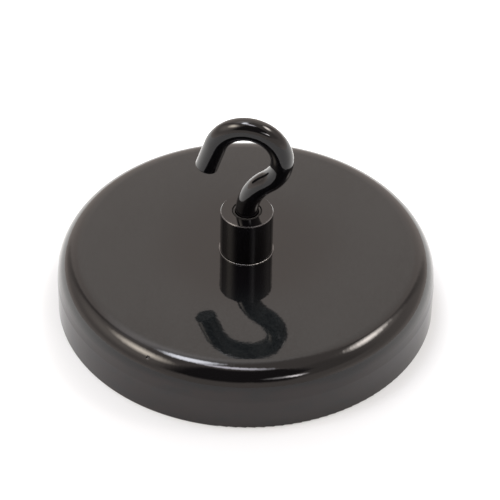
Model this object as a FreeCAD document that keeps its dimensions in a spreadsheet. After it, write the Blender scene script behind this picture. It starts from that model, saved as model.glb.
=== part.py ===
"""Round pot magnet with a screw-in open hook, of the kind lowered on a rope for magnet fishing.

A deep-drawn steel cup holds a ring of arc magnets that are potted in epoxy round a brass bush. A
countersunk screw comes up through the bush and the cup's floor into a threaded boss, which stands on a
thin washer. The boss's M6 thread also takes the shank of a round-wire hook, and a rubber ring seals the
shank in the boss's mouth.

Frame: millimetres, +Z up. The origin is the middle of the pulling face, the plane of the cup's rim. The
hook's wire lies in the XZ plane, with its eye centred on the Z axis and its tip on the -X side.
"""

import FreeCAD, Part

import math
import os

import Sketcher
from FreeCAD import Placement, Rotation, Vector

DOC = FreeCAD.newDocument("pot_magnet_hook")

# Driving dimensions in millimetres, degrees where the name ends in _angle.
SIZES = [
    ("cup_radius", 45.0, "outside of the cup's wall"),
    ("cup_height", 15.9, "pulling face to the flat seat in the middle of the top"),
    ("cup_seat", 7.2, "radius of that seat, which carries the washer"),
    ("cup_crest", 27.0, "radius of the top's highest circle"),
    ("dish_bend", 1100, "bend of the shallow dish between the seat and the crest, in section"),
    ("crown_bend", 511, "bend of the crown over the crest and down to the shoulder, in section"),
    ("cup_wall", 4.0, "thickness of the wall"),
    ("cup_floor", 4.5, "thickness of the floor that carries the boss"),
    ("cup_shoulder", 6.0, "outer radius where the top turns down into the wall"),
    ("cup_corner", 1.6, "inner radius in the corner of the cavity"),
    ("cup_land", 8.0, "height of the straight, sized part of the wall"),
    ("cup_draft", 0.7, "how far the wall leans in from the land to the crown"),
    ("rim_round", 0.4, "rounding of the rim's outer edge"),
    ("rim_chamfer", 0.4, "chamfer on the rim's inner edge"),
    ("clear_hole", 3.3, "radius of the M6 clearance holes"),
    ("magnet_count", 8, "arc magnets in the ring"),
    ("magnet_outer", 37.0, "outer radius of the magnet ring"),
    ("magnet_inner", 12.0, "inner radius of the magnet ring"),
    ("magnet_recess", 0.4, "how far the magnets lie behind the rim"),
    ("magnet_depth", 10.9, "thickness of the magnets"),
    ("magnet_gap_angle", 0.9, "angle left between neighbouring magnets"),
    ("magnet_edge", 0.35, "rounding of the magnets' edges"),
    ("resin_recess", 0.7, "how far the cast resin lies behind the rim"),
    ("spacer_low", 3.0, "lower face of the nylon centring ring"),
    ("spacer_high", 9.0, "upper face of the nylon centring ring"),
    ("spacer_fit", 0.1, "gap on each side of the centring ring"),
    ("bush_radius", 11.5, "outside of the brass bush"),
    ("head_radius", 6.0, "countersunk head of the centre screw"),
    ("head_recess", 1.1, "how far the screw's head lies behind the rim"),
    ("head_land", 0.3, "straight edge of the screw's head"),
    ("head_fit", 0.1, "gap round that edge"),
    ("socket_flats", 4.0, "width across flats of the screw's hex socket"),
    ("socket_depth", 2.4, "depth of that socket"),
    ("screw_length", 20.0, "length of the centre screw over its head"),
    ("washer_radius", 6.55, "outside of the washer under the boss"),
    ("washer_thick", 0.3, "its thickness"),
    ("washer_edge", 0.12, "rounding of its edge"),
    ("boss_radius", 6.25, "outside of the threaded boss"),
    ("boss_height", 11.3, "height of the boss over its washer"),
    ("boss_chamfer", 0.2, "chamfer on the boss's edges"),
    ("seat_radius", 3.55, "counterbore for the sealing ring"),
    ("seat_depth", 0.8, "depth of that counterbore"),
    ("thread_pitch", 1.0, "M6 coarse pitch"),
    ("thread_crest", 2.95, "outside of the male threads"),
    ("thread_root", 2.40, "bottom of the male threads"),
    ("thread_bore", 2.50, "inside of the female thread"),
    ("thread_major", 3.02, "bottom of the female thread's groove"),
    ("thread_flat", 0.125, "width of the male thread's crest"),
    ("thread_play", 0.04, "axial play on each flank of the female thread"),
    ("wire_radius", 2.7, "hook wire"),
    ("shank_length", 6.0, "how far the hook reaches into the boss"),
    ("shank_relief", 0.3, "height over which the shank widens to the wire, in the counterbore"),
    ("shank_chamfer", 0.3, "chamfer on the shank's end"),
    ("shank_straight", 0.2, "straight wire above the boss's top"),
    ("neck_bend", 11.5, "centreline radius of the bend from shank to eye"),
    ("eye_bend", 8.03, "centreline radius of the eye"),
    ("eye_angle", 216.5, "turn of the eye"),
    ("tip_length", 7.15, "straight wire between the eye and the tip"),
    ("tip_edge", 0.45, "rounding of the cut end"),
    ("ring_section", 0.38, "radius of the sealing ring's cord"),
    ("ring_mean", 3.1, "radius of the sealing ring's circle"),
    ("ring_fit", 0.02, "gap under the sealing ring"),
]


def make_sheet():
    """The spreadsheet that drives every size."""
    sheet = DOC.addObject("Spreadsheet::Sheet", "Sizes")
    for row, (alias, value, note) in enumerate(SIZES, start=1):
        sheet.set(f"A{row}", note)
        sheet.set(f"B{row}", str(value))
        sheet.setAlias(f"B{row}", alias)
    DOC.recompute()
    return sheet


SHEET = make_sheet()


def evaluate(text):
    """The present value of an expression on the sheet."""
    return float(SHEET.evalExpression(text))


def size(alias):
    """The number in the sheet's cell of that alias."""
    return evaluate(f"Sizes.{alias}")


# Names for places that several pieces share, as expressions on the sheet.
TOP = "Sizes.cup_height"
CAVITY = "(Sizes.cup_height - Sizes.cup_floor)"
INNER = "(Sizes.cup_radius - Sizes.cup_wall)"
LEAN = "(Sizes.cup_radius - Sizes.cup_draft)"
MAGNET_TOP = "(Sizes.magnet_recess + Sizes.magnet_depth)"
WASHER_TOP = "(Sizes.cup_height + Sizes.washer_thick)"
BOSS_TOP = "(Sizes.cup_height + Sizes.washer_thick + Sizes.boss_height)"
SEAT = "(Sizes.cup_height + Sizes.washer_thick + Sizes.boss_height - Sizes.seat_depth)"
SHANK_END = "(Sizes.cup_height + Sizes.washer_thick + Sizes.boss_height - Sizes.shank_length)"
SCREW_END = "(Sizes.head_recess + Sizes.screw_length)"
# Height plus radius, which is the same all over the 45 degree cone of the screw's head.
HEAD_CONE = "(Sizes.head_recess + Sizes.head_land + Sizes.head_radius)"

NEAR = 0.01  # how close an edge lies to the place where it is looked for
THREAD_SINK = 0.1  # how far a thread's outline reaches past the surface it joins
THREAD_RUNOUT = 0.4  # plain length kept beside each end of the hook's thread


def new_body(name):
    """An empty PartDesign body whose label is the node's name."""
    body = DOC.addObject("PartDesign::Body", name)
    body.Label = name
    return body


def origin_plane(body, role):
    """One of the body's own origin planes, found by its role."""
    return next(f for f in body.Origin.OriginFeatures if f.Role == role)


def new_sketch(body, name, role):
    """A sketch on one of the body's origin planes."""
    sketch = body.newObject("Sketcher::SketchObject", name)
    sketch.AttachmentSupport = [(origin_plane(body, role), "")]
    sketch.MapMode = "FlatFace"
    return sketch


def bind(sketch, constraint, text):
    """Adds a constraint whose value follows an expression."""
    number = sketch.addConstraint(constraint)
    sketch.setExpression(f"Constraints[{number}]", text)


def pin(sketch, kind, item, end, text):
    """Ties a point's DistanceX or DistanceY from the sketch's origin to an expression."""
    point = sketch.getPoint(item, end)
    value = point.x if kind == "DistanceX" else point.y
    bind(sketch, Sketcher.Constraint(kind, -1, 1, item, end, value), text)


def pin_point(sketch, line, end, across, up):
    """Ties one end of a line to the expressions across and up, measured from the sketch's origin."""
    for axis, kind, text in ((-2, "DistanceX", across), (-1, "DistanceY", up)):
        if text == "0":
            sketch.addConstraint(Sketcher.Constraint("PointOnObject", line, end, axis))
        else:
            pin(sketch, kind, line, end, text)


def polygon_sketch(body, name, role, corners):
    """A closed outline of straight lines whose corners are pairs of expressions."""
    sketch = new_sketch(body, name, role)
    points = [Vector(evaluate(across), evaluate(up), 0) for across, up in corners]
    count = len(points)
    for k in range(count):
        sketch.addGeometry(Part.LineSegment(points[k], points[(k + 1) % count]), False)
    for k in range(count):
        sketch.addConstraint(Sketcher.Constraint("Coincident", k, 2, (k + 1) % count, 1))
    for k, (across, up) in enumerate(corners):
        pin_point(sketch, k, 1, across, up)
    return sketch


def spin(body, name, sketch):
    """A whole Revolution of a sketch about its own upright axis."""
    turned = body.newObject("PartDesign::Revolution", name)
    turned.Profile = sketch
    turned.ReferenceAxis = (sketch, ["V_Axis"])
    turned.Angle = 360
    DOC.recompute()
    return turned


def revolve(body, name, corners, angle=None):
    """A Revolution about Z of an outline in the XZ plane, whole or through the angle of an expression."""
    turned = spin(body, name, polygon_sketch(body, name + "_outline", "XZ_Plane", corners))
    if angle:
        turned.Midplane = True
        turned.setExpression("Angle", angle)
        DOC.recompute()
    return turned


def ring_edges(feature, radius, height):
    """Names of the feature's circular edges about Z with that radius at that height."""
    found = []
    for k, edge in enumerate(feature.Shape.Edges, start=1):
        curve = edge.Curve
        if not isinstance(curve, Part.Circle):
            continue
        same = abs(curve.Radius - radius) < NEAR and abs(curve.Center.z - height) < NEAR
        if same:
            found.append(f"Edge{k}")
    return found


def circles_at(feature, centre):
    """Names of the feature's circular edges whose centre is at that point."""
    return [f"Edge{k}" for k, edge in enumerate(feature.Shape.Edges, start=1)
            if isinstance(edge.Curve, Part.Circle) and edge.Curve.Center.distanceToPoint(centre) < NEAR]


def dress(body, kind, name, base, edges, alias):
    """A Fillet or a Chamfer of the base's named edges, with its size from the sheet."""
    feature = body.newObject(f"PartDesign::{kind}", name)
    feature.Base = (base, edges)
    quantity = "Radius" if kind == "Fillet" else "Size"
    setattr(feature, quantity, size(alias))
    feature.setExpression(quantity, f"Sizes.{alias}")
    DOC.recompute()
    return feature


def cup_section(body):
    """The cup's section, and the point where its crown meets the wall.

    The top is a flat seat, a dish that rises from it and a crown over the crest, each tangent to the next.
    On an arc the sine of the slope is the distance from its level point over its radius, so the dish meets
    the crown where these two are equal.
    """
    seat, top, crest = size("cup_seat"), size("cup_height"), size("cup_crest")
    dish, crown = size("dish_bend"), size("crown_bend")
    lean = evaluate(LEAN)
    meet = (seat * crown + crest * dish) / (dish + crown)
    slope = math.asin((meet - seat) / dish)
    fall = math.asin((lean - crest) / crown)
    dish_centre = Vector(seat, top + dish, 0)
    crown_centre = Vector(crest, top + dish - (dish + crown) * math.cos(slope), 0)
    corner = crown_centre + Vector(math.sin(fall), math.cos(fall), 0) * crown
    normal = Vector(0, 0, 1)
    down, up = -math.pi / 2, math.pi / 2
    sketch = new_sketch(body, "cup_outline", "XZ_Plane")
    dish_arc = Part.ArcOfCircle(Part.Circle(dish_centre, normal, dish), down, down + slope)
    crown_arc = Part.ArcOfCircle(Part.Circle(crown_centre, normal, crown), up - fall, up + slope)
    rise = sketch.addGeometry(dish_arc, False)
    drop = sketch.addGeometry(crown_arc, False)
    pinned = [
        ("Sizes.cup_radius", "Sizes.cup_land"),
        ("Sizes.cup_radius", "0"),
        (INNER, "0"),
        (INNER, CAVITY),
        ("Sizes.clear_hole", CAVITY),
        ("Sizes.clear_hole", TOP),
        ("Sizes.cup_seat", TOP),
    ]
    points = [corner] + [Vector(evaluate(across), evaluate(height), 0) for across, height in pinned]
    lines = [sketch.addGeometry(Part.LineSegment(*pair), False) for pair in zip(points, points[1:])]
    link = Sketcher.Constraint
    for first, second in zip(lines, lines[1:]):
        sketch.addConstraint(link("Coincident", first, 2, second, 1))
    for line, (across, height) in zip(lines, pinned):
        pin_point(sketch, line, 2, across, height)
    sketch.addConstraint(link("Tangent", lines[-1], 2, rise, 1))
    sketch.addConstraint(link("Tangent", rise, 2, drop, 2))
    sketch.addConstraint(link("Coincident", drop, 1, lines[0], 1))
    bind(sketch, link("Radius", rise, dish), "Sizes.dish_bend")
    bind(sketch, link("Radius", drop, crown), "Sizes.crown_bend")
    pin(sketch, "DistanceX", drop, 3, "Sizes.cup_crest")
    pin(sketch, "DistanceX", drop, 1, LEAN)
    return sketch, corner


def make_pot_shell():
    """The deep-drawn cup: straight land, slight draft, large shoulder, open below, a hole in its floor."""
    body = new_body("pot_shell")
    section, top_corner = cup_section(body)
    shape = spin(body, "cup", section)
    inner = evaluate(INNER)
    for kind, name, radius, height, alias in (
            ("Fillet", "shoulder", top_corner.x, top_corner.y, "cup_shoulder"),
            ("Fillet", "corner", inner, evaluate(CAVITY), "cup_corner"),
            ("Fillet", "outer_rim", size("cup_radius"), 0, "rim_round"),
            ("Chamfer", "inner_rim", inner, 0, "rim_chamfer")):
        shape = dress(body, kind, name, shape, ring_edges(shape, radius, height), alias)
    return body


def make_magnet(number):
    """One arc magnet, magnetised through its thickness, turned to its place in the ring."""
    body = new_body(f"magnet_segment_{number + 1}")
    arc = revolve(body, "arc", [
        ("Sizes.magnet_inner", "Sizes.magnet_recess"),
        ("Sizes.magnet_outer", "Sizes.magnet_recess"),
        ("Sizes.magnet_outer", MAGNET_TOP),
        ("Sizes.magnet_inner", MAGNET_TOP),
    ], angle="360 / Sizes.magnet_count - Sizes.magnet_gap_angle")
    every = [f"Edge{k}" for k in range(1, len(arc.Shape.Edges) + 1)]
    dress(body, "Fillet", "edges", arc, every, "magnet_edge")
    turn = 360.0 / size("magnet_count") * (number + 0.5)
    body.Placement = Placement(Vector(0, 0, 0), Rotation(Vector(0, 0, 1), turn))
    return body


def make_spacer_ring():
    """The nylon ring that centres the magnets and keeps the flux gap to the cup's wall."""
    body = new_body("centring_ring")
    revolve(body, "ring", [
        ("(Sizes.magnet_outer + Sizes.spacer_fit)", "Sizes.spacer_low"),
        (f"({INNER} - Sizes.spacer_fit)", "Sizes.spacer_low"),
        (f"({INNER} - Sizes.spacer_fit)", "Sizes.spacer_high"),
        ("(Sizes.magnet_outer + Sizes.spacer_fit)", "Sizes.spacer_high"),
    ])
    return body


def make_resin(magnets):
    """The epoxy casting: face seal, webs between the magnets and the film that bonds them to the floor."""
    body = new_body("resin_blank")
    revolve(body, "blank", [
        ("Sizes.bush_radius", "Sizes.resin_recess"),
        (INNER, "Sizes.resin_recess"),
        (INNER, "Sizes.spacer_low"),
        ("Sizes.magnet_outer", "Sizes.spacer_low"),
        ("Sizes.magnet_outer", CAVITY),
        ("Sizes.bush_radius", CAVITY),
    ])
    ring = DOC.addObject("Part::Compound", "magnet_ring")
    ring.Links = magnets
    resin = DOC.addObject("Part::Cut", "potting_resin")
    resin.Label = "potting_resin"
    resin.Base = body
    resin.Tool = ring
    return resin


def make_centre_bush():
    """The brass bush that lines the ring's middle and takes the screw's countersunk head."""
    body = new_body("centre_bush")
    opening = "(Sizes.head_radius + Sizes.head_fit)"
    revolve(body, "bush", [
        (opening, "Sizes.magnet_recess"),
        ("Sizes.bush_radius", "Sizes.magnet_recess"),
        ("Sizes.bush_radius", CAVITY),
        ("Sizes.clear_hole", CAVITY),
        ("Sizes.clear_hole", f"({HEAD_CONE} - Sizes.clear_hole)"),
        (opening, f"({HEAD_CONE} - {opening})"),
    ])
    return body


def ridge_outline(crest, root, crest_half, pitch_line):
    """Corners of a 60 degree thread's trapezium at the height pitch_line, from the crest in to the root."""
    slope = math.tan(math.radians(30))
    root_half = f"({crest_half} + ({crest} - {root}) * {slope!r})"
    return [
        (crest, f"({pitch_line} - {crest_half})"),
        (crest, f"({pitch_line} + {crest_half})"),
        (root, f"({pitch_line} + {root_half})"),
        (root, f"({pitch_line} - {root_half})"),
    ]


def helix(body, kind, name, corners, turns):
    """A right-handed AdditiveHelix or SubtractiveHelix of the outline about Z."""
    sketch = polygon_sketch(body, name + "_outline", "XZ_Plane", corners)
    thread = body.newObject(f"PartDesign::{kind}", name)
    thread.Profile = sketch
    thread.ReferenceAxis = (sketch, ["V_Axis"])
    thread.Mode = "pitch-turns-angle"
    thread.Pitch = size("thread_pitch")
    thread.Turns = turns
    thread.LeftHanded = False
    thread.setExpression("Pitch", "Sizes.thread_pitch")
    DOC.recompute()
    return thread


MALE_HALF = "(Sizes.thread_flat / 2)"
FEMALE_HALF = "(Sizes.thread_flat / 2 + Sizes.thread_play)"


def male_ridge(body, name, low, turns):
    """The helical ridge of a male thread, which starts at a whole number of pitches above the origin."""
    root = f"(Sizes.thread_root - {THREAD_SINK})"
    ridge = ridge_outline("Sizes.thread_crest", root, MALE_HALF, f"{low} * Sizes.thread_pitch")
    return helix(body, "AdditiveHelix", name, ridge, turns)


def make_centre_screw():
    """The M6 countersunk screw with a hex socket that holds the boss to the cup."""
    body = new_body("centre_screw")
    neck = f"({HEAD_CONE} - Sizes.thread_root)"
    revolve(body, "screw", [
        ("0", "Sizes.head_recess"),
        ("Sizes.head_radius", "Sizes.head_recess"),
        ("Sizes.head_radius", "(Sizes.head_recess + Sizes.head_land)"),
        ("Sizes.thread_root", neck),
        ("Sizes.thread_root", SCREW_END),
        ("0", SCREW_END),
    ])
    start = math.ceil(evaluate(neck)) + 1
    turns = int(evaluate(SCREW_END)) - start - 1
    male_ridge(body, "thread", start, turns)
    across = "(Sizes.socket_flats / 2)"
    corner = "(Sizes.socket_flats / 2 / cos(30deg))"
    half = "(Sizes.socket_flats / 2 * tan(30deg))"
    hexagon = polygon_sketch(body, "hexagon", "XY_Plane", [
        (corner, "0"), (half, across), (f"(-{half})", across),
        (f"(-{corner})", "0"), (f"(-{half})", f"(-{across})"), (half, f"(-{across})"),
    ])
    hexagon.AttachmentOffset = Placement(Vector(0, 0, size("head_recess")), Rotation())
    hexagon.setExpression("AttachmentOffset.Base.z", "Sizes.head_recess")
    socket = body.newObject("PartDesign::Pocket", "socket")
    socket.Profile = hexagon
    socket.Length = size("socket_depth")
    socket.setExpression("Length", "Sizes.socket_depth")
    socket.Reversed = True
    DOC.recompute()
    return body


def make_boss():
    """The threaded boss: M6 right through, with a counterbore for the sealing ring at its mouth."""
    body = new_body("boss")
    turned = revolve(body, "post", [
        ("Sizes.thread_bore", WASHER_TOP),
        ("Sizes.boss_radius", WASHER_TOP),
        ("Sizes.boss_radius", BOSS_TOP),
        ("Sizes.seat_radius", BOSS_TOP),
        ("Sizes.seat_radius", SEAT),
        ("Sizes.thread_bore", SEAT),
    ])
    ends = ring_edges(turned, size("boss_radius"), evaluate(WASHER_TOP))
    ends += ring_edges(turned, size("boss_radius"), evaluate(BOSS_TOP))
    dress(body, "Chamfer", "edges", turned, ends, "boss_chamfer")
    low = int(evaluate(WASHER_TOP)) - 1
    high = math.ceil(evaluate(SEAT)) + 1
    bore = f"(Sizes.thread_bore - {THREAD_SINK})"
    cut = ridge_outline("Sizes.thread_major", bore, FEMALE_HALF, f"{low} * Sizes.thread_pitch")
    helix(body, "SubtractiveHelix", "thread", cut, high - low)
    return body


def make_washer():
    """The thin steel washer under the boss."""
    body = new_body("boss_washer")
    turned = revolve(body, "disc", [
        ("Sizes.clear_hole", TOP),
        ("Sizes.washer_radius", TOP),
        ("Sizes.washer_radius", WASHER_TOP),
        ("Sizes.clear_hole", WASHER_TOP),
    ])
    edges = ring_edges(turned, size("washer_radius"), evaluate(WASHER_TOP))
    dress(body, "Fillet", "edge", turned, edges, "washer_edge")
    return body


def hook_path(body):
    """The hook's centreline in the XZ plane: shank, neck bend to +X, eye back over the axis, straight tip.

    The neck's turn is the one that puts the eye's centre on the Z axis: cos(turn) = neck / (neck + eye).
    """
    neck, eye = size("neck_bend"), size("eye_bend")
    base = evaluate(BOSS_TOP)
    rise = base + size("shank_straight")
    turn = math.acos(neck / (neck + eye))
    centre = Vector(0, rise + (neck + eye) * math.sin(turn), 0)
    end_angle = math.radians(size("eye_angle")) - turn
    eye_end = centre + Vector(math.cos(end_angle), math.sin(end_angle), 0) * eye
    tip = eye_end + Vector(-math.sin(end_angle), math.cos(end_angle), 0) * size("tip_length")
    sketch = new_sketch(body, "centreline", "XZ_Plane")
    normal = Vector(0, 0, 1)
    neck_circle = Part.Circle(Vector(neck, rise, 0), normal, neck)
    neck_arc = Part.ArcOfCircle(neck_circle, math.pi - turn, math.pi)
    eye_arc = Part.ArcOfCircle(Part.Circle(centre, normal, eye), -turn, end_angle)
    shank = sketch.addGeometry(Part.LineSegment(Vector(0, base, 0), Vector(0, rise, 0)), False)
    bend = sketch.addGeometry(neck_arc, False)
    loop = sketch.addGeometry(eye_arc, False)
    straight = sketch.addGeometry(Part.LineSegment(eye_end, tip), False)
    link = Sketcher.Constraint
    sketch.addConstraint(link("PointOnObject", shank, 1, -2))
    sketch.addConstraint(link("Vertical", shank))
    sketch.addConstraint(link("Tangent", shank, 2, bend, 2))
    sketch.addConstraint(link("Tangent", bend, 1, loop, 1))
    sketch.addConstraint(link("Tangent", loop, 2, straight, 1))
    sketch.addConstraint(link("PointOnObject", loop, 3, -2))
    sized = [
        (link("DistanceY", -1, 1, shank, 1, base), BOSS_TOP),
        (link("Distance", shank, rise - base), "Sizes.shank_straight"),
        (link("Radius", bend, neck), "Sizes.neck_bend"),
        (link("Radius", loop, eye), "Sizes.eye_bend"),
        (link("Distance", straight, size("tip_length")), "Sizes.tip_length"),
        (link("Angle", loop, math.radians(size("eye_angle"))), "Sizes.eye_angle"),
    ]
    for constraint, text in sized:
        bind(sketch, constraint, text)
    DOC.recompute()
    return sketch, tip


def make_hook():
    """The bent wire, one piece with its M6 shank."""
    body = new_body("hook")
    shank = revolve(body, "shank", [
        ("0", SHANK_END),
        ("(Sizes.thread_root - Sizes.shank_chamfer)", SHANK_END),
        ("Sizes.thread_root", f"({SHANK_END} + Sizes.shank_chamfer)"),
        ("Sizes.thread_root", SEAT),
        ("Sizes.wire_radius", f"({SEAT} + Sizes.shank_relief)"),
        ("Sizes.wire_radius", BOSS_TOP),
        ("0", BOSS_TOP),
    ])
    start = math.ceil(evaluate(SHANK_END) + THREAD_RUNOUT)
    turns = int(evaluate(SEAT) - THREAD_RUNOUT) - start
    male_ridge(body, "thread", start, turns)
    path, tip = hook_path(body)
    profile = new_sketch(body, "wire", "XY_Plane")
    profile.AttachmentOffset = Placement(Vector(0, 0, evaluate(BOSS_TOP)), Rotation())
    profile.setExpression("AttachmentOffset.Base.z", BOSS_TOP)
    ring = profile.addGeometry(Part.Circle(Vector(0, 0, 0), Vector(0, 0, 1), size("wire_radius")), False)
    profile.addConstraint(Sketcher.Constraint("Coincident", ring, 3, -1, 1))
    bind(profile, Sketcher.Constraint("Radius", ring, size("wire_radius")), "Sizes.wire_radius")
    bent = body.newObject("PartDesign::AdditivePipe", "bent_wire")
    bent.Profile = profile
    bent.Spine = path
    DOC.recompute()
    dress(body, "Fillet", "tip", bent, circles_at(bent, Vector(tip.x, 0, tip.y)), "tip_edge")
    return body


def make_seal_ring():
    """The rubber ring round the shank in the boss's mouth."""
    ring = DOC.addObject("Part::Torus", "shank_seal")
    ring.Label = "shank_seal"
    ring.setExpression("Radius1", "Sizes.ring_mean")
    ring.setExpression("Radius2", "Sizes.ring_section")
    ring.setExpression("Placement.Base.z", f"{SEAT} + Sizes.ring_section + Sizes.ring_fit")
    return ring


def check_and_write(nodes):
    """Stops on any failed object or bad shape, then writes each node's STEP file."""
    DOC.recompute()
    for item in DOC.Objects:
        failed = {"Invalid", "Error"} & set(item.State)
        if failed:
            raise SystemExit(f"{item.Label} failed: {item.State}")
    os.makedirs("parts", exist_ok=True)
    for node in nodes:
        shape = node.Shape
        if shape.isNull() or not shape.isValid() or not shape.Solids:
            raise SystemExit(f"{node.Label} has no valid shape")
        shape.exportStep(os.path.join("parts", node.Label + ".step"))
        box = shape.BoundBox
        print(f"{node.Label:20s} solids {len(shape.Solids)} volume {shape.Volume:10.2f}"
              f" z {box.ZMin:7.2f} to {box.ZMax:7.2f}")


magnets = [make_magnet(k) for k in range(int(size("magnet_count")))]
check_and_write([
    make_pot_shell(),
    *magnets,
    make_spacer_ring(),
    make_resin(magnets),
    make_centre_bush(),
    make_centre_screw(),
    make_washer(),
    make_boss(),
    make_hook(),
    make_seal_ring(),
])
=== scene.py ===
"""Looks of the pot magnet with its screw-in hook: finishes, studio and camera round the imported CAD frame."""

import math

import bpy
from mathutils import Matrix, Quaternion, Vector


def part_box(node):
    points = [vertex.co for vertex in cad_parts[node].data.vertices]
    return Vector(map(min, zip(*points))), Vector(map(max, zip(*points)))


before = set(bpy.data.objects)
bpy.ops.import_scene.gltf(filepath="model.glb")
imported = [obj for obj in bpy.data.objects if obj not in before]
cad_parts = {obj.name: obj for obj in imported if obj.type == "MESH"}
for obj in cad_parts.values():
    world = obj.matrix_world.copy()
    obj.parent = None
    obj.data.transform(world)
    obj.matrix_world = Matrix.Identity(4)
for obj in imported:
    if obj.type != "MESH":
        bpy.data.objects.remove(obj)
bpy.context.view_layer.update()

MM = 0.001

# The camera, from the middle of the pulling face: degrees and metres, with the lens in millimetres.
CAMERA_AZIMUTH = 9.6
CAMERA_ELEVATION = 41.33
CAMERA_DISTANCE = 0.6397
CAMERA_AIM = Vector((-0.00038, 0.00765, 0.0089))
CAMERA_ROLL = 1.12
CAMERA_LENS = 190.7
CAMERA_NEAR = 0.01

# Sizes that the finishes follow, from the frame.
BOSS_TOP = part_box("boss")[1].z
BOSS_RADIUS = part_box("boss")[1].x
CUP_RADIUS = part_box("pot_shell")[1].x


def spherical(azimuth, elevation):
    """Unit vector to a place in the studio, whose azimuth 0 is behind the object and 90 to its right."""
    turned = math.radians(azimuth - CAMERA_AZIMUTH)
    height = math.radians(elevation)
    flat = math.cos(height)
    return Vector((math.sin(turned) * flat, math.cos(turned) * flat, math.sin(height)))


# ---------------------------------------------------------------- node helpers

def add_node(tree, kind, inputs=None, **settings):
    """A new node with its settings, whose inputs are set to values or linked to sockets."""
    node = tree.nodes.new(kind)
    for key, value in settings.items():
        setattr(node, key, value)
    for key, value in (inputs or {}).items():
        if isinstance(value, bpy.types.NodeSocket):
            tree.links.new(value, node.inputs[key])
        else:
            node.inputs[key].default_value = value
    return node


def maths(tree, operation, first, second=0.0):
    """The output of a Math node."""
    return add_node(tree, "ShaderNodeMath", {0: first, 1: second}, operation=operation).outputs[0]


def product(tree, first, second):
    """first times second."""
    return maths(tree, "MULTIPLY", first, second)


def remainder(tree, share):
    """What share leaves of 1."""
    return maths(tree, "SUBTRACT", 1, share)


def vector_maths(tree, operation, first, second=(0, 0, 0)):
    """The number or vector that a Vector Math node gives."""
    node = add_node(tree, "ShaderNodeVectorMath", {0: first, 1: second}, operation=operation)
    return node.outputs["Value"] if operation in ("DOT_PRODUCT", "LENGTH") else node.outputs["Vector"]


def ramp(tree, value, low, high, start=0.0, end=1.0):
    """A smooth ramp from start, where value is low, to end, where it is high."""
    step = add_node(tree, "ShaderNodeMapRange", {
        "Value": value, "From Min": low, "From Max": high, "To Min": start, "To Max": end,
    }, interpolation_type="SMOOTHSTEP")
    return step.outputs["Result"]


def blend_numbers(tree, factor, first, second):
    """first where factor is 0, second where it is 1."""
    return add_node(tree, "ShaderNodeMix", {0: factor, 2: first, 3: second}).outputs[0]


def blend_colours(tree, factor, first, second):
    """The colour first where factor is 0, second where it is 1."""
    mix = add_node(tree, "ShaderNodeMix", {0: factor, 6: first, 7: second}, data_type="RGBA")
    return mix.outputs[2]


def noise(tree, place, size, detail=2.0, roughness=0.5, squeeze=(1, 1, 1)):
    """Noise from 0 to 1 whose blobs are about size metres across, stretched where squeeze is small."""
    where = vector_maths(tree, "MULTIPLY", place, squeeze)
    node = add_node(tree, "ShaderNodeTexNoise", {
        "Vector": where, "Scale": 1 / size, "Detail": detail, "Roughness": roughness,
    })
    return node.outputs["Fac"]


def bump(tree, height, depth, normal=None):
    """A normal for relief of that depth in metres, on top of another normal."""
    inputs = {"Height": height, "Distance": depth, "Strength": 1.0}
    if normal:
        inputs["Normal"] = normal
    return add_node(tree, "ShaderNodeBump", inputs).outputs["Normal"]


# ---------------------------------------------------------------- studio

def make_camera():
    """A long lens, above the object and a little to its right."""
    data = bpy.data.cameras.new("camera")
    data.lens = CAMERA_LENS
    data.clip_start = CAMERA_NEAR
    camera = bpy.data.objects.new("camera", data)
    bpy.context.scene.collection.objects.link(camera)
    camera.location = spherical(180, CAMERA_ELEVATION) * CAMERA_DISTANCE
    look = (CAMERA_AIM - camera.location).to_track_quat("-Z", "Y")
    camera.rotation_mode = "QUATERNION"
    camera.rotation_quaternion = look @ Quaternion((0, 0, 1), math.radians(CAMERA_ROLL))
    bpy.context.scene.camera = camera


# The white tent round the object: radiances, then shares of the light. Every angle is in degrees, as a studio
# azimuth or an elevation, and a pair of angles says where a change begins and ends.
TENT_COLOUR = (1.0, 0.88, 0.81, 1)
TENT_SWEEP = 1.34  # the bright sweep behind the object
TENT_SIDE = 1.0
TENT_ROOF = 0.8
TENT_OPENING = 0.08  # the dark opening round the camera
SEAM_LOSS = 0.45  # lost in the folds between the sweep and the sides
SEAM_LOSS_LOW = 0.25  # how much of that loss is left near the floor
HORIZON_GAIN = 0.55  # gained by the sides near the horizon
CORNER_LOSS = 0.38  # lost in the front corner at the right

# Azimuth of each fold at the horizon, and how much it leans outwards for each degree of height.
LEFT_FOLD = (38, 0.4)
RIGHT_FOLD = (46, 0.08)
# Degrees past a fold where the side takes over from the sweep, and where the seam darkens and ends.
SIDE_STARTS = (-11, -3)
SEAM_STARTS = (-8, -1)
SEAM_ENDS = (1, 11)
# Elevations and azimuths of the other changes in the walls.
SEAM_HEIGHT = (5, 45)
HORIZON_HEIGHT = (0, 16)
HORIZON_END = (120, 150)
CORNER_AZIMUTH = (85, 115)
CORNER_HEIGHT = (22, 30)
ROOF_EDGE = (58, 68)
# The opening that the camera looks through.
OPENING_LEFT = (-144, -124)
OPENING_RIGHT = (142, 128)  # low down, and higher up
OPENING_TURN = (40, 48)  # the heights between those two
OPENING_SOFT = 14  # how wide the opening's right edge is
OPENING_BOTTOM = (18, 28)
OPENING_TOP = (70, 78)

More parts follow.
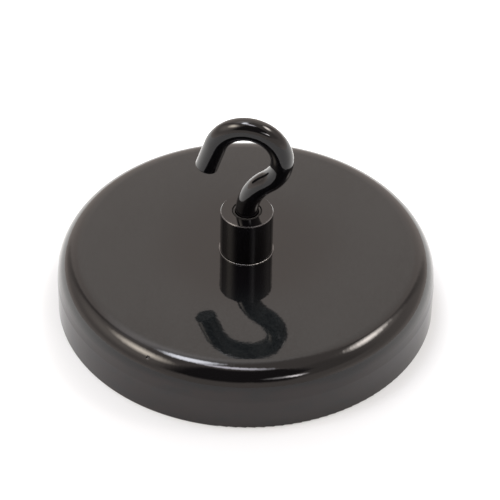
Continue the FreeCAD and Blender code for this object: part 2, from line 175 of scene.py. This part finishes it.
# Softboxes in the tent: studio azimuth and elevation, angular width and height in degrees, share of the half
# width that is evenly bright, radiance, colour.
SOFTBOXES = {
    "left": (-103, 49.5, 42, 28, 0.0, 11.0, (1.0, 0.9, 0.78)),
    "left_glow": (-95, 36, 74, 42, 0.0, 0.9, (1.0, 0.9, 0.8)),
    "right": (73, 53.5, 33, 21, 0.0, 17.5, (1.0, 0.92, 0.86)),
    "right_glow": (68, 48, 40, 30, 0.0, 1.0, (1.0, 0.92, 0.84)),
    "roof_window": (-55, 75, 25, 18, 0.25, 16.5, (0.9, 0.92, 1.0)),
    "roof_glow": (-32, 63, 50, 34, 0.0, 1.2, (0.95, 0.95, 1.0)),
    "roof_lamp": (-150, 84.5, 34, 15, 0.1, 10.5, (0.92, 0.9, 1.0)),
    "front": (149, 35.5, 14, 12, 0.0, 13.0, (1.0, 0.95, 0.96)),
    "front_glow": (155, 36.5, 28, 13, 0.0, 4.0, (1.0, 0.95, 0.96)),
}
SMALLEST_DEPTH = 0.01  # keeps the places behind a softbox out of it


def softbox(tree, direction, azimuth, elevation, wide, high, even):
    """A mask from 0 to 1 of an elliptical softbox with soft edges, seen from the object."""
    centre = spherical(azimuth, elevation)
    across = Vector((0, 0, 1)).cross(centre).normalized()
    upward = centre.cross(across)
    depth = vector_maths(tree, "DOT_PRODUCT", direction, centre)
    sideways = vector_maths(tree, "DOT_PRODUCT", direction, across / math.tan(math.radians(wide / 2)))
    height = vector_maths(tree, "DOT_PRODUCT", direction, upward / math.tan(math.radians(high / 2)))
    square = maths(tree, "ADD", product(tree, sideways, sideways), product(tree, height, height))
    reach = maths(tree, "DIVIDE", maths(tree, "SQRT", square), maths(tree, "MAXIMUM", depth, SMALLEST_DEPTH))
    return ramp(tree, reach, even, 1.0, 1.0, 0.0)


def fold_azimuth(tree, elevation, foot, lean):
    """Azimuth of a fold in the tent at each elevation."""
    return maths(tree, "ADD", foot, product(tree, elevation, lean))


def wall_level(tree, azimuth, elevation):
    """Radiance of the sweep and the sides, with the folds between them."""
    side = maths(tree, "ABSOLUTE", azimuth)
    left_fold = fold_azimuth(tree, elevation, *LEFT_FOLD)
    right_fold = fold_azimuth(tree, elevation, *RIGHT_FOLD)
    fold = blend_numbers(tree, ramp(tree, azimuth, -1, 1), left_fold, right_fold)
    past = maths(tree, "SUBTRACT", side, fold)
    low = ramp(tree, elevation, *HORIZON_HEIGHT, HORIZON_GAIN, 0)
    near_horizon = product(tree, low, ramp(tree, side, *HORIZON_END, 1, 0))
    sides = product(tree, maths(tree, "ADD", 1, near_horizon), TENT_SIDE)
    corner = ramp(tree, azimuth, *CORNER_AZIMUTH, 0, CORNER_LOSS)
    dim_corner = product(tree, corner, ramp(tree, elevation, *CORNER_HEIGHT))
    sides = product(tree, sides, remainder(tree, dim_corner))
    walls = blend_numbers(tree, ramp(tree, past, *SIDE_STARTS), TENT_SWEEP, sides)
    seam = product(tree, ramp(tree, past, *SEAM_STARTS), ramp(tree, past, *SEAM_ENDS, SEAM_LOSS, 0))
    seam = product(tree, seam, ramp(tree, elevation, *SEAM_HEIGHT, SEAM_LOSS_LOW, 1))
    return product(tree, walls, remainder(tree, seam))


def camera_opening(tree, azimuth, elevation):
    """A mask from 0 to 1 of the opening that the camera looks through."""
    edge = ramp(tree, elevation, *OPENING_TURN, *OPENING_RIGHT)
    right_side = ramp(tree, maths(tree, "SUBTRACT", azimuth, edge), 0, OPENING_SOFT)
    open_side = maths(tree, "MAXIMUM", right_side, ramp(tree, azimuth, *OPENING_LEFT, 1, 0))
    above_bottom = ramp(tree, elevation, *OPENING_BOTTOM)
    open_height = product(tree, above_bottom, ramp(tree, elevation, *OPENING_TOP, 1, 0))
    return product(tree, open_side, open_height)


def make_world():
    """A white light tent: bright sweep behind, darker seams, softboxes, an opening for the camera."""
    world = bpy.data.worlds.new("light_tent")
    world.use_nodes = True
    bpy.context.scene.world = world
    tree = world.node_tree
    tree.nodes.clear()
    direction = add_node(tree, "ShaderNodeTexCoord").outputs["Generated"]
    turned = add_node(tree, "ShaderNodeVectorRotate", {
        "Vector": direction, "Axis": (0, 0, 1), "Angle": math.radians(-CAMERA_AZIMUTH),
    }, rotation_type="AXIS_ANGLE").outputs[0]
    across, along, up = add_node(tree, "ShaderNodeSeparateXYZ", {0: turned}).outputs
    degrees = 180 / math.pi
    azimuth = product(tree, maths(tree, "ARCTAN2", across, along), degrees)
    elevation = product(tree, maths(tree, "ARCSINE", up), degrees)
    roof = ramp(tree, elevation, *ROOF_EDGE)
    level = blend_numbers(tree, roof, wall_level(tree, azimuth, elevation), TENT_ROOF)
    level = blend_numbers(tree, camera_opening(tree, azimuth, elevation), level, TENT_OPENING)
    tent = add_node(tree, "ShaderNodeBackground", {"Color": TENT_COLOUR, "Strength": level})
    light = tent.outputs[0]
    for *shape, radiance, colour in SOFTBOXES.values():
        mask = softbox(tree, direction, *shape)
        glow = add_node(tree, "ShaderNodeBackground", {
            "Color": (*colour, 1), "Strength": product(tree, mask, radiance),
        })
        light = add_node(tree, "ShaderNodeAddShader", {0: light, 1: glow.outputs[0]}).outputs[0]
    add_node(tree, "ShaderNodeOutputWorld", {"Surface": light})


TABLE = (0.375, 0.395, 0.425, 1)
TABLE_HALF = 3.0  # half its width in metres
TABLE_PAINTED_GLOW = (1.0, 0.985, 0.94)
PAINTED_GLOW_NEAR = 0.44  # painted glow of the table beside and in front of the object, lifting the shade there
PAINTED_GLOW_BACK = 1.05  # how much that painted glow gains towards the back, away from the object
PAINTED_GLOW_CLEAR = 1.38  # where that gain is full, in radii of the cup
PAINTED_GLOW_TURN = (-0.95, 0.4)  # cosines of the angle from straight behind, where the gain begins and is full


def make_floor():
    """A plain table far larger than the view, whose emission is painted light, brightest behind the object."""
    corners = [(x * TABLE_HALF, y * TABLE_HALF, 0) for x, y in ((-1, -1), (1, -1), (1, 1), (-1, 1))]
    mesh = bpy.data.meshes.new("floor")
    mesh.from_pydata(corners, [], [(0, 1, 2, 3)])
    floor = bpy.data.objects.new("floor", mesh)
    bpy.context.scene.collection.objects.link(floor)
    material, tree, shader, place = new_material("painted_glow_table")
    distance = vector_maths(tree, "LENGTH", place)
    behind = vector_maths(tree, "DOT_PRODUCT", vector_maths(tree, "NORMALIZE", place), spherical(0, 0))
    clear = ramp(tree, distance, CUP_RADIUS, PAINTED_GLOW_CLEAR * CUP_RADIUS)
    painted_back_glow = product(tree, ramp(tree, behind, *PAINTED_GLOW_TURN), clear)
    # The emission is painted light: a glow that lifts the shade beside the object and a brighter pool behind
    # it.
    glow = maths(tree, "ADD", product(tree, painted_back_glow, PAINTED_GLOW_BACK), PAINTED_GLOW_NEAR)
    scaled = add_node(tree, "ShaderNodeVectorMath", {0: TABLE_PAINTED_GLOW, "Scale": glow}, operation="SCALE")
    tree.links.new(scaled.outputs[0], shader.inputs["Emission Color"])
    set_uniform(shader, Emission_Strength=1.0, Base_Color=TABLE, Roughness=0.9, Specular_IOR_Level=0.0)
    mesh.materials.append(material)


# ---------------------------------------------------------------- finishes

def new_material(name):
    """A material, its node tree, its Principled shader and the place on the object at rest, in metres."""
    material = bpy.data.materials.new(name)
    material.use_nodes = True
    tree = material.node_tree
    shader = tree.nodes["Principled BSDF"]
    place = add_node(tree, "ShaderNodeTexCoord").outputs["Object"]
    return material, tree, shader, place


def facing_up(tree):
    """The upward part of the surface's own normal, from -1 to 1."""
    normal = add_node(tree, "ShaderNodeTexCoord").outputs["Normal"]
    return add_node(tree, "ShaderNodeSeparateXYZ", {0: normal}).outputs[2]


def radius_and_height(tree, place):
    """Distance from the Z axis and height."""
    flat = vector_maths(tree, "MULTIPLY", place, (1, 1, 0))
    return vector_maths(tree, "LENGTH", flat), add_node(tree, "ShaderNodeSeparateXYZ", {0: place}).outputs[2]


def set_uniform(shader, **values):
    """Plain numbers and colours of the shader, set on its own sockets."""
    for name, value in values.items():
        shader.inputs[name.replace("_", " ")].default_value = value


LACQUER = (0.0022, 0.0021, 0.0026, 1)
LACQUER_IOR = 1.5
TOP_DUST_AND_PAINTED_LIGHT = (0.0045, 0.0056, 0.0065, 1)  # partly fine dust and wipe marks on faces that point up, partly painted light that lifts the dark reflections on the flat
TOP_DUST_AND_PAINTED_LIGHT_THICK = (0.0085, 0.0102, 0.0112, 1)
BARE_STEEL = (0.42, 0.41, 0.4, 1)
WORN_EDGE = (0.15, 0.15, 0.155, 1)
WALL_BROWN = (0.0098, 0.0052, 0.0044, 1)

NOISE_SPAN = (0.3, 0.7)  # the values that most noise lies between
# Roughness where the finish is clean, and where it is smeared or coarse.
FLAT_ROUGHNESS = (0.045, 0.07)
WALL_ROUGHNESS = (0.06, 0.09)
HOOK_ROUGHNESS = (0.05, 0.095)
BOSS_ROUGHNESS = (0.15, 0.19)
BOSS_END_ROUGHNESS = 0.06
SEAL_ROUGHNESS = (0.12, 0.24)
SEAL_FLANK_ROUGHNESS = 0.85
WORN_ROUGHNESS = 0.25
THREAD_ROUGHNESS = 0.3

# A pair of lengths says where a change begins and ends.
DUST_AND_PAINTED_LIGHT_RADII = (12 * MM, 27 * MM)
NICK = (-15.4 * MM, -40.2 * MM, 14.2 * MM)  # a small nick in the shoulder
NICK_RADII = (0.35 * MM, 0.75 * MM)
NICK_DEPTH = 0.12 * MM
WORN_BAND = (BOSS_RADIUS - 0.4 * MM, BOSS_RADIUS - 0.25 * MM)
BORE_EDGE = (3.3 * MM, 3.45 * MM)
THREAD_TOP = (BOSS_TOP - 0.6 * MM, BOSS_TOP - 0.45 * MM)
# Radii of the painted highlight, a grey band along the seal's crest.
PAINTED_CREST_INNER = (2.94 * MM, 3.0 * MM)
PAINTED_CREST_OUTER = (3.06 * MM, 3.12 * MM)
SEAL_FLANK = (3.02 * MM, 3.14 * MM)
SEAL_BLACK = (0.003, 0.003, 0.003, 1)
SEAL_DUSTY = (0.006, 0.006, 0.006, 1)
SEAL_PAINTED_CREST_HIGHLIGHT = (0.07, 0.07, 0.07, 1)


def make_pot_lacquer():
    """Gloss black over drawn steel: orange peel, a dusty flat lightened with painted light, a stained wall
    with die marks, a nick.
    """
    material, tree, shader, place = new_material("pot_lacquer")
    up = facing_up(tree)
    top = ramp(tree, up, 0.1, 0.6)
    wipes = noise(tree, place, 14 * MM, 4, 0.62, (1, 0.35, 1))
    smears = ramp(tree, wipes, 0.42, 0.7)
    flat = blend_numbers(tree, smears, *FLAT_ROUGHNESS)
    wall = blend_numbers(tree, smears, *WALL_ROUGHNESS)
    tree.links.new(blend_numbers(tree, top, wall, flat), shader.inputs["Roughness"])
    radius = radius_and_height(tree, place)[0]
    dust = ramp(tree, noise(tree, place, 0.7 * MM, 3, 0.7), 0.35, 0.7, 0, 1.2)
    film = maths(tree, "ADD", ramp(tree, wipes, 0.3, 0.75, -0.2, 0.6), dust)
    # The flat's colour is partly dust and partly painted light, lifting its dark reflections away from the
    # boss.
    dust_and_painted_light = blend_colours(tree, film, TOP_DUST_AND_PAINTED_LIGHT, TOP_DUST_AND_PAINTED_LIGHT_THICK)
    level = product(tree, ramp(tree, up, 0.96, 0.999), ramp(tree, radius, *DUST_AND_PAINTED_LIGHT_RADII))
    side = ramp(tree, up, 0.05, 0.35, 1, 0)
    streaks = noise(tree, place, 3 * MM, 3, 0.6, (0.5, 0.5, 1))
    stain = maths(tree, "ADD", ramp(tree, streaks, *NOISE_SPAN, -0.2, 1.5), product(tree, dust, 0.8))
    coat = blend_colours(tree, product(tree, side, stain), LACQUER, WALL_BROWN)
    tree.links.new(blend_colours(tree, level, coat, dust_and_painted_light), shader.inputs["Base Color"])
    peel = bump(tree, noise(tree, place, 1.0 * MM, 1.5, 0.5), 0.005 * MM)
    waves = bump(tree, noise(tree, place, 9 * MM, 1, 0.4), 0.004 * MM, peel)
    marks = noise(tree, place, 0.5 * MM, 2, 0.5, (1, 1, 0.04))
    drawn = bump(tree, product(tree, marks, remainder(tree, top)), 0.003 * MM, waves)
    away = vector_maths(tree, "LENGTH", vector_maths(tree, "SUBTRACT", place, NICK))
    ragged = maths(tree, "ADD", away, product(tree, marks, 0.5 * MM))
    nick = bump(tree, ramp(tree, ragged, *NICK_RADII), NICK_DEPTH, drawn)
    tree.links.new(nick, shader.inputs["Normal"])
    set_uniform(shader, IOR=LACQUER_IOR)
    return material


def make_boss_lacquer():
    """Black over a turned post: satin side, glossy end, bright worn edges and a bare steel thread."""
    material, tree, shader, place = new_material("boss_lacquer")
    radius = radius_and_height(tree, place)[0]
    up = facing_up(tree)
    end = ramp(tree, up, 0.8, 0.95)
    sloping = ramp(tree, maths(tree, "ABSOLUTE", up), 0.3, 0.6)
    edge = product(tree, product(tree, sloping, remainder(tree, end)), ramp(tree, radius, *WORN_BAND))
    patches = ramp(tree, noise(tree, place, 1.2 * MM, 3, 0.6), 0.3, 0.6, 0.45, 1.0)
    bore = ramp(tree, radius, *BORE_EDGE, 1, 0)
    bare = maths(tree, "MAXIMUM", product(tree, edge, patches), product(tree, bore, 0.8))
    rings = noise(tree, place, 0.16 * MM, 2, 0.5, (0.01, 0.01, 1))
    satin = ramp(tree, rings, *NOISE_SPAN, *BOSS_ROUGHNESS)
    gloss = blend_numbers(tree, end, satin, BOSS_END_ROUGHNESS)
    tree.links.new(blend_numbers(tree, bare, gloss, WORN_ROUGHNESS), shader.inputs["Roughness"])
    metal = blend_colours(tree, bore, WORN_EDGE, BARE_STEEL)
    tree.links.new(blend_colours(tree, bare, LACQUER, metal), shader.inputs["Base Color"])
    tree.links.new(bare, shader.inputs["Metallic"])
    turned = bump(tree, rings, 0.0004 * MM)
    peel = bump(tree, noise(tree, place, 1.1 * MM, 1.5), 0.0012 * MM, turned)
    tree.links.new(peel, shader.inputs["Normal"])
    set_uniform(shader, IOR=LACQUER_IOR)
    return material


def make_hook_lacquer():
    """Gloss black over drawn wire: orange peel, fine draw lines, a bare thread below the boss's mouth."""
    material, tree, shader, place = new_material("hook_lacquer")
    height = radius_and_height(tree, place)[1]
    bare = ramp(tree, height, *THREAD_TOP, 0.75, 0)
    wipes = ramp(tree, noise(tree, place, 5 * MM, 4, 0.6), 0.4, 0.7, *HOOK_ROUGHNESS)
    tree.links.new(blend_numbers(tree, bare, wipes, THREAD_ROUGHNESS), shader.inputs["Roughness"])
    tree.links.new(blend_colours(tree, bare, LACQUER, BARE_STEEL), shader.inputs["Base Color"])
    tree.links.new(bare, shader.inputs["Metallic"])
    lines = noise(tree, place, 0.45 * MM, 2, 0.5, (0.12, 1, 0.12))
    drawn = bump(tree, lines, 0.0011 * MM)
    peel = bump(tree, noise(tree, place, 1.3 * MM, 2.5, 0.6), 0.009 * MM, drawn)
    tree.links.new(peel, shader.inputs["Normal"])
    set_uniform(shader, IOR=LACQUER_IOR)
    return material


def make_seal_rubber():
    """A wet-looking rubber ring with a painted highlight along its crest, its outer flank dull with dirt."""
    material, tree, shader, place = new_material("seal_rubber")
    radius = radius_and_height(tree, place)[0]
    fine = noise(tree, place, 0.25 * MM, 3, 0.6)
    gloss = ramp(tree, fine, *NOISE_SPAN, *SEAL_ROUGHNESS)
    # A painted highlight: a grey band along the crest of the ring.
    worn = product(tree, ramp(tree, radius, *PAINTED_CREST_INNER), ramp(tree, radius, *PAINTED_CREST_OUTER, 1, 0))
    flank = ramp(tree, radius, *SEAL_FLANK)
    tree.links.new(blend_numbers(tree, flank, gloss, SEAL_FLANK_ROUGHNESS), shader.inputs["Roughness"])
    black = blend_colours(tree, fine, SEAL_BLACK, SEAL_DUSTY)
    tree.links.new(blend_colours(tree, worn, black, SEAL_PAINTED_CREST_HIGHLIGHT), shader.inputs["Base Color"])
    tree.links.new(bump(tree, fine, 0.002 * MM), shader.inputs["Normal"])
    set_uniform(shader, IOR=1.5)
    return material


def make_metal(name, colour, dark, smooth, rough, grain, depth, squeeze=(1, 1, 1), rings=False):
    """A bare or plated metal clouded with dark, roughness from smooth to rough, with fine grain or rings."""
    material, tree, shader, place = new_material(name)
    clouds = ramp(tree, noise(tree, place, 3 * MM, 4, 0.6), 0.35, 0.7)
    tree.links.new(blend_colours(tree, clouds, colour, dark), shader.inputs["Base Color"])
    where = place
    if rings:
        radius, height = radius_and_height(tree, place)
        where = add_node(tree, "ShaderNodeCombineXYZ", {0: radius, 1: height}).outputs[0]
    lines = noise(tree, where, grain, 3, 0.6, squeeze)
    tree.links.new(ramp(tree, lines, *NOISE_SPAN, smooth, rough), shader.inputs["Roughness"])
    tree.links.new(bump(tree, lines, depth), shader.inputs["Normal"])
    set_uniform(shader, Metallic=1.0)
    return material


def make_plain(name, colour, worn, smooth, rough, grain, depth, ior):
    """Nylon or resin: colour clouded with worn, roughness from smooth to rough, fine grain."""
    material, tree, shader, place = new_material(name)
    clouds = ramp(tree, noise(tree, place, 2 * MM, 4, 0.6), 0.35, 0.7)
    tree.links.new(blend_colours(tree, clouds, colour, worn), shader.inputs["Base Color"])
    fine = noise(tree, place, grain, 3, 0.6)
    tree.links.new(ramp(tree, fine, *NOISE_SPAN, smooth, rough), shader.inputs["Roughness"])
    tree.links.new(bump(tree, fine, depth), shader.inputs["Normal"])
    set_uniform(shader, IOR=ior)
    return material


def dress(material, *nodes):
    """Gives CAD nodes their finish."""
    for node in nodes:
        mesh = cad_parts[node].data
        mesh.materials.clear()
        mesh.materials.append(material)


def dress_all():
    """Every node's finish."""
    dress(make_pot_lacquer(), "pot_shell")
    dress(make_boss_lacquer(), "boss")
    dress(make_hook_lacquer(), "hook")
    dress(make_metal("washer_steel", colour=(0.17, 0.17, 0.172, 1), dark=(0.12, 0.12, 0.12, 1),
                     smooth=0.12, rough=0.22, grain=0.12 * MM, depth=0.002 * MM, rings=True), "boss_washer")
    magnets = [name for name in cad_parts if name.startswith("magnet_segment")]
    dress(make_metal("magnet_nickel", colour=(0.7, 0.67, 0.62, 1), dark=(0.6, 0.57, 0.53, 1),
                     smooth=0.12, rough=0.26, grain=0.3 * MM, depth=0.002 * MM, squeeze=(1, 0.2, 1)), *magnets)
    dress(make_metal("bush_brass", colour=(0.72, 0.53, 0.25, 1), dark=(0.58, 0.4, 0.18, 1),
                     smooth=0.2, rough=0.34, grain=0.1 * MM, depth=0.003 * MM, rings=True), "centre_bush")
    dress(make_metal("screw_steel", colour=(0.58, 0.58, 0.57, 1), dark=(0.46, 0.45, 0.43, 1),
                     smooth=0.25, rough=0.4, grain=0.1 * MM, depth=0.003 * MM, rings=True), "centre_screw")
    dress(make_plain("resin", colour=(0.012, 0.012, 0.013, 1), worn=(0.02, 0.02, 0.02, 1),
                     smooth=0.12, rough=0.3, grain=1.2 * MM, depth=0.01 * MM, ior=1.52), "potting_resin")
    dress(make_plain("nylon", colour=(0.02, 0.02, 0.022, 1), worn=(0.035, 0.035, 0.035, 1),
                     smooth=0.4, rough=0.55, grain=0.2 * MM, depth=0.004 * MM, ior=1.53), "centring_ring")
    dress(make_seal_rubber(), "shank_seal")


make_camera()
make_world()
make_floor()
dress_all()

bpy.context.scene.view_settings.view_transform = "Standard"
